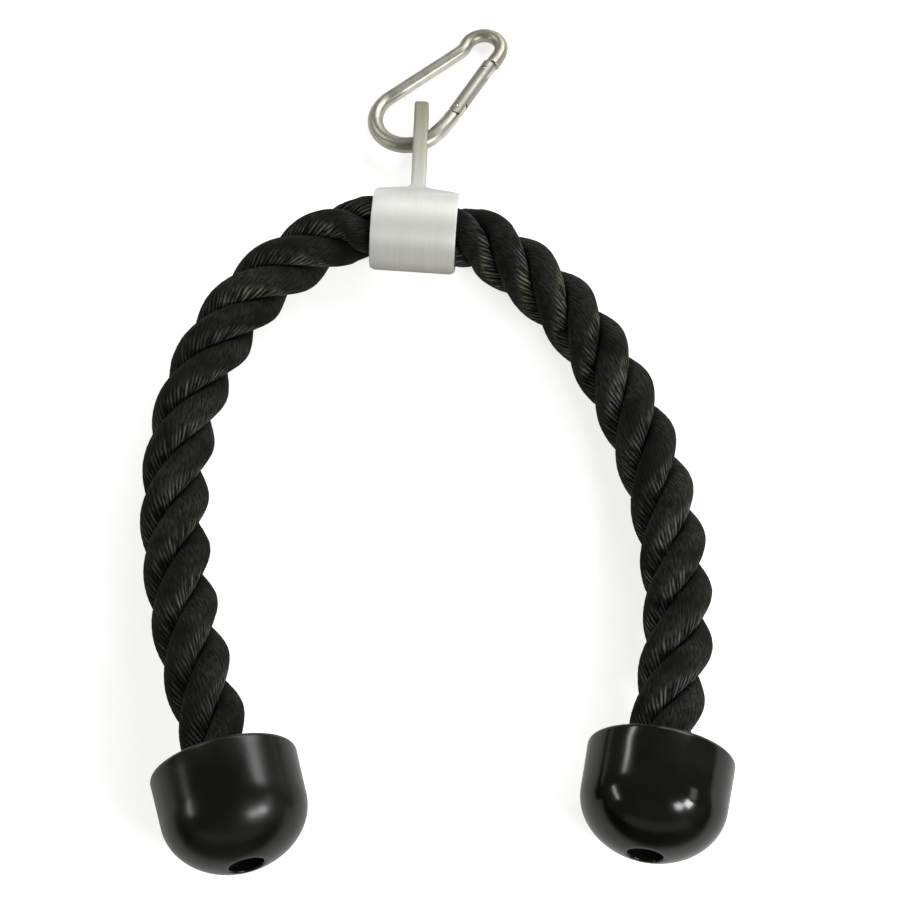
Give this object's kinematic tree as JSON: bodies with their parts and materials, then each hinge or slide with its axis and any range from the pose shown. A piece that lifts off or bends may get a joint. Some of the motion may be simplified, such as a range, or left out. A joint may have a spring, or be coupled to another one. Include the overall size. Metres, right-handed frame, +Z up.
{
  "type": "triceps rope cable attachment",
  "caption": "Short laid rope bent into a horseshoe, with a rubber cap on each end and a steel strap at its middle whose eye carries a snap hook for a cable machine.",
  "frame": {"origin": "middle of the footprint on the surface it lies on", "axes": "+Y from the caps to the snap hook, +X to the right along the collar, +Z up off the surface"},
  "size_m": [0.243, 0.402, 0.0604],
  "materials": {
    "cap_rubber": "semi-gloss black",
    "rope_fibre": "black laid fibre",
    "strap_plate": "fine brushed plating",
    "hook_plate": "polished plating",
    "gate_plate": "polished plating",
    "pin_steel": "plain",
    "spring_steel": "plain",
    "screw_steel": "blackened"
  },
  "bodies": {
    "rope_assembly": {"rope_left": "rope_fibre", "rope_right": "rope_fibre", "strap": "strap_plate", "end_cap_left": "cap_rubber", "end_cap_right": "cap_rubber", "cap_washer_left": "screw_steel", "cap_washer_right": "screw_steel", "cap_screw_left": "screw_steel", "cap_screw_right": "screw_steel"},
    "snap_hook": {"carabiner_body": "hook_plate", "gate_rivet": "pin_steel"},
    "gate": {"carabiner_gate": "gate_plate", "latch_pin": "pin_steel"},
    "plunger": {"gate_plunger": "pin_steel", "gate_spring": "spring_steel"}
  },
  "joints": [
    {"name": "hook_swing", "type": "hinge", "parent": "rope_assembly", "child": "snap_hook", "pos_m": [-0.00506, 0.13676, 0.01021], "axis": [0.951, 0.3045, 0.0542], "range_deg": [-145, 145]},
    {"name": "gate_hinge", "type": "hinge", "parent": "snap_hook", "child": "gate", "pos_m": [0.01162, 0.1547, 0.00913], "axis": [-0.1067, 0.1583, 0.9816], "range_deg": [0, 24], "stiffness_Nm_per_rad": 0.06, "springref_deg": -11.46},
    {"name": "plunger_slide", "type": "slide", "parent": "gate", "child": "plunger", "axis": [0.5109, 0.8557, -0.0825], "range_m": [0, 0.0005]}
  ],
  "couplings": [
    {"joint": "plunger_slide", "follows": "gate_hinge", "m_per_rad": 0.0011}
  ]
}
